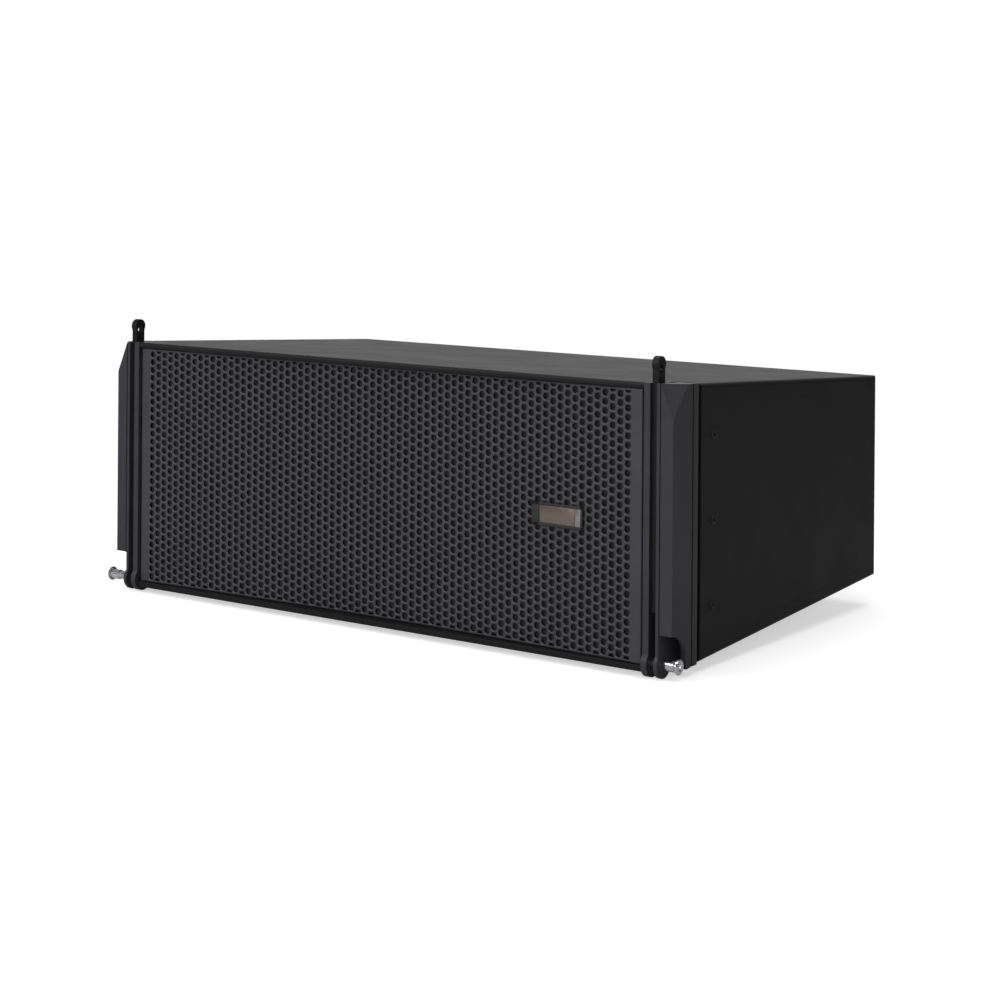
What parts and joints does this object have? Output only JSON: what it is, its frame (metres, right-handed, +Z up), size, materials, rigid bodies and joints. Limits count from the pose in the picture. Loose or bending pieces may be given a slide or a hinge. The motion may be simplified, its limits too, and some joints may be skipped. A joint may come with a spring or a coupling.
{
  "type": "line array speaker",
  "caption": "Wedge-sided loudspeaker cabinet with a folded perforated grille, raised link bars and lock pins for hanging in a column.",
  "frame": {"origin": "middle of the front face's bottom edge", "axes": "+X to the right seen from the front, +Y from the grille to the back, +Z up with the front face upright"},
  "size_m": [0.797, 0.524, 0.3225],
  "materials": {
    "black_paint": "textured black cabinet paint over plywood",
    "birch_ply": "bare plywood",
    "felt": "felt lining",
    "grille_steel": "powder coated perforated steel",
    "foam": "open cell acoustic foam",
    "badge": "brushed plate, no lettering",
    "black_screws": "black oxide",
    "rigging_steel": "satin black powder coat",
    "black_steel": "black powder coat",
    "pin_chrome": "polished",
    "zinc_steel": "zinc plated",
    "basket_alloy": "black coated casting",
    "ferrite": "matt ferrite",
    "surround_rubber": "matt",
    "spider_cloth": "resin treated cloth",
    "cone_paper": "coated paper",
    "copper": "enamelled copper wire",
    "black_plastic": "moulded",
    "diaphragm_alloy": "thin formed dome",
    "circuit_board": "laminate",
    "capacitor_film": "wrapped film",
    "connector_plastic": "moulded"
  },
  "bodies": {
    "cabinet": {"top_panel": "black_paint", "bottom_panel": "black_paint", "left_side_panel": "black_paint", "right_side_panel": "black_paint", "rear_panel": "black_paint", "front_baffle": "birch_ply", "cabinet_braces": "birch_ply", "acoustic_lining": "felt", "grille": "grille_steel", "grille_foam": "foam", "badge_plate": "badge", "left_rigging_housing": "rigging_steel", "right_rigging_housing": "rigging_steel", "link_guide_bolts": "zinc_steel", "rigging_screws": "black_screws", "rear_rigging_spine": "rigging_steel", "rear_pivot_bolt": "zinc_steel", "left_woofer_basket": "basket_alloy", "left_woofer_top_plate": "zinc_steel", "left_woofer_magnet": "ferrite", "left_woofer_pole_piece": "zinc_steel", "left_woofer_surround": "surround_rubber", "left_woofer_spider": "spider_cloth", "right_woofer_basket": "basket_alloy", "right_woofer_top_plate": "zinc_steel", "right_woofer_magnet": "ferrite", "right_woofer_pole_piece": "zinc_steel", "right_woofer_surround": "surround_rubber", "right_woofer_spider": "spider_cloth", "driver_screws": "black_screws", "reflex_ports": "black_plastic", "hf_waveguide": "black_plastic", "hf_driver_body": "ferrite", "hf_rear_cover": "black_plastic", "crossover_board": "circuit_board", "crossover_coils": "copper", "crossover_capacitors": "capacitor_film", "input_plate": "rigging_steel", "speaker_connectors": "connector_plastic", "internal_wiring": "copper", "carry_handles": "black_plastic"},
    "left_link": {"left_link_bar": "black_steel"},
    "right_link": {"right_link_bar": "black_steel"},
    "left_pin": {"left_lock_pin": "pin_chrome"},
    "right_pin": {"right_lock_pin": "pin_chrome"},
    "left_button": {"left_pin_button": "pin_chrome"},
    "right_button": {"right_pin_button": "pin_chrome"},
    "rear_arm": {"rear_link_arm": "black_steel"},
    "rear_pin": {"rear_lock_pin": "pin_chrome"},
    "rear_button": {"rear_pin_button": "pin_chrome"},
    "left_moving_cone": {"left_woofer_cone": "cone_paper", "left_woofer_dust_cap": "cone_paper", "left_woofer_voice_coil": "copper"},
    "right_moving_cone": {"right_woofer_cone": "cone_paper", "right_woofer_dust_cap": "cone_paper", "right_woofer_voice_coil": "copper"},
    "hf_dome": {"hf_diaphragm": "diaphragm_alloy"}
  },
  "joints": [
    {"name": "left_link_slide", "type": "slide", "parent": "cabinet", "child": "left_link", "axis": [0, 0, -1], "range_m": [0, 0.03]},
    {"name": "right_link_slide", "type": "slide", "parent": "cabinet", "child": "right_link", "axis": [0, 0, -1], "range_m": [0, 0.03]},
    {"name": "left_pin_pull", "type": "slide", "parent": "cabinet", "child": "left_pin", "axis": [-1, 0, 0], "range_m": [-0.014, 0.026]},
    {"name": "right_pin_pull", "type": "slide", "parent": "cabinet", "child": "right_pin", "axis": [1, 0, 0], "range_m": [0, 0.04]},
    {"name": "left_pin_press", "type": "slide", "parent": "left_pin", "child": "left_button", "axis": [1, 0, 0], "range_m": [0, 0.002], "stiffness_N_per_m": 800},
    {"name": "right_pin_press", "type": "slide", "parent": "right_pin", "child": "right_button", "axis": [-1, 0, 0], "range_m": [0, 0.002], "stiffness_N_per_m": 800},
    {"name": "rear_arm_swing", "type": "hinge", "parent": "cabinet", "child": "rear_arm", "pos_m": [0, 0.495, 0.222], "axis": [1, 0, 0], "range_deg": [0, 180]},
    {"name": "rear_pin_pull", "type": "slide", "parent": "cabinet", "child": "rear_pin", "axis": [1, 0, 0], "range_m": [0, 0.04]},
    {"name": "rear_pin_press", "type": "slide", "parent": "rear_pin", "child": "rear_button", "axis": [-1, 0, 0], "range_m": [0, 0.002], "stiffness_N_per_m": 800},
    {"name": "left_cone_travel", "type": "slide", "parent": "cabinet", "child": "left_moving_cone", "axis": [0, -1, 0], "range_m": [-0.004, 0.004], "stiffness_N_per_m": 3000, "deforming": ["left_woofer_surround", "left_woofer_spider"]},
    {"name": "right_cone_travel", "type": "slide", "parent": "cabinet", "child": "right_moving_cone", "axis": [0, -1, 0], "range_m": [-0.004, 0.004], "stiffness_N_per_m": 3000, "deforming": ["right_woofer_surround", "right_woofer_spider"]},
    {"name": "hf_dome_travel", "type": "slide", "parent": "cabinet", "child": "hf_dome", "axis": [0, -1, 0], "range_m": [-0.0004, 0.0004], "stiffness_N_per_m": 20000}
  ]
}
